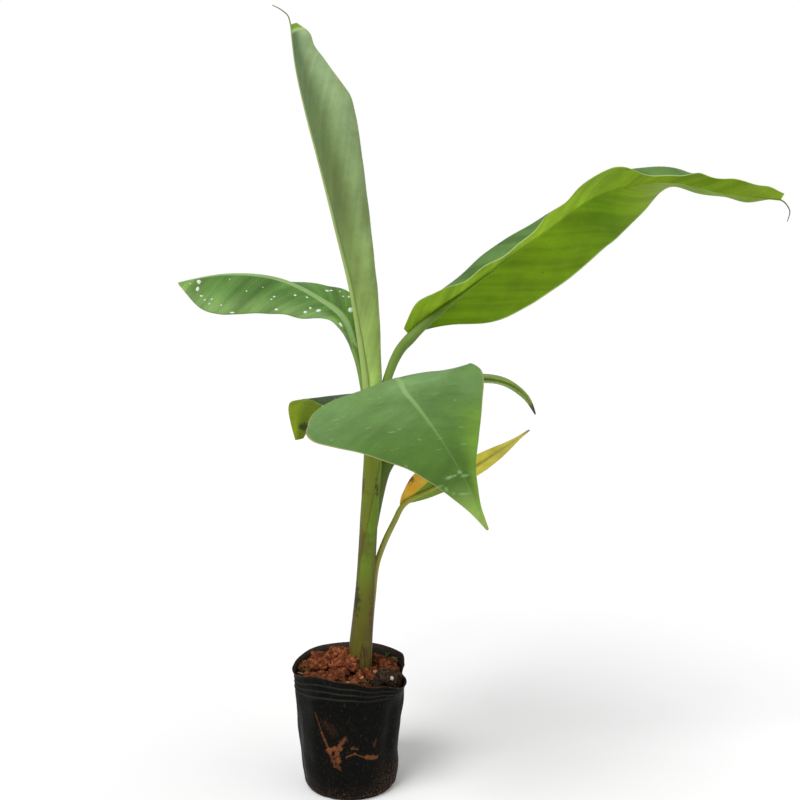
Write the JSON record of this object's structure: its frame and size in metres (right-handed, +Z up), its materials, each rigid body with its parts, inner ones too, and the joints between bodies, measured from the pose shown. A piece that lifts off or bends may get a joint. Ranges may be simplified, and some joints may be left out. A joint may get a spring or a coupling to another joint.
{
  "type": "potted banana plant",
  "caption": "Young banana plant with a leaning pseudostem and long arching leaves, rooted in a soil-filled black film grow bag that stands on a flat underside.",
  "frame": {"origin": "middle of the grow bag's flat underside, on the surface it stands on", "axes": "+Z up along the bag's axis and the plant's height; +X to the side where the longest leaf reaches; -Y to the front, where the broad arching leaf reaches"},
  "size_m": [0.6183, 0.3779, 0.7949],
  "materials": {
    "black_film": "satin",
    "red_soil": "matte",
    "stem_sheath": "satin",
    "petiole_green": "satin",
    "petiole_yellow": "satin",
    "spear_leaf": "satin",
    "sunlit_leaf": "satin",
    "spotted_leaf": "satin",
    "broad_leaf": "satin",
    "yellow_leaf": "satin"
  },
  "bodies": {
    "root": {"blade_back_left": "broad_leaf", "blade_front": "broad_leaf", "blade_left": "spotted_leaf", "blade_low_right": "sunlit_leaf", "blade_right": "sunlit_leaf", "blade_right_tip": "sunlit_leaf", "blade_spear": "spear_leaf", "blade_yellow": "yellow_leaf", "grow_bag": "black_film", "petiole_back_left": "petiole_green", "petiole_front": "petiole_green", "petiole_left": "petiole_green", "petiole_low_right": "petiole_green", "petiole_right": "petiole_green", "petiole_spear": "petiole_green", "petiole_yellow": "petiole_yellow", "pseudostem": "stem_sheath", "root_ball": "red_soil"}
  },
  "joints": []
}
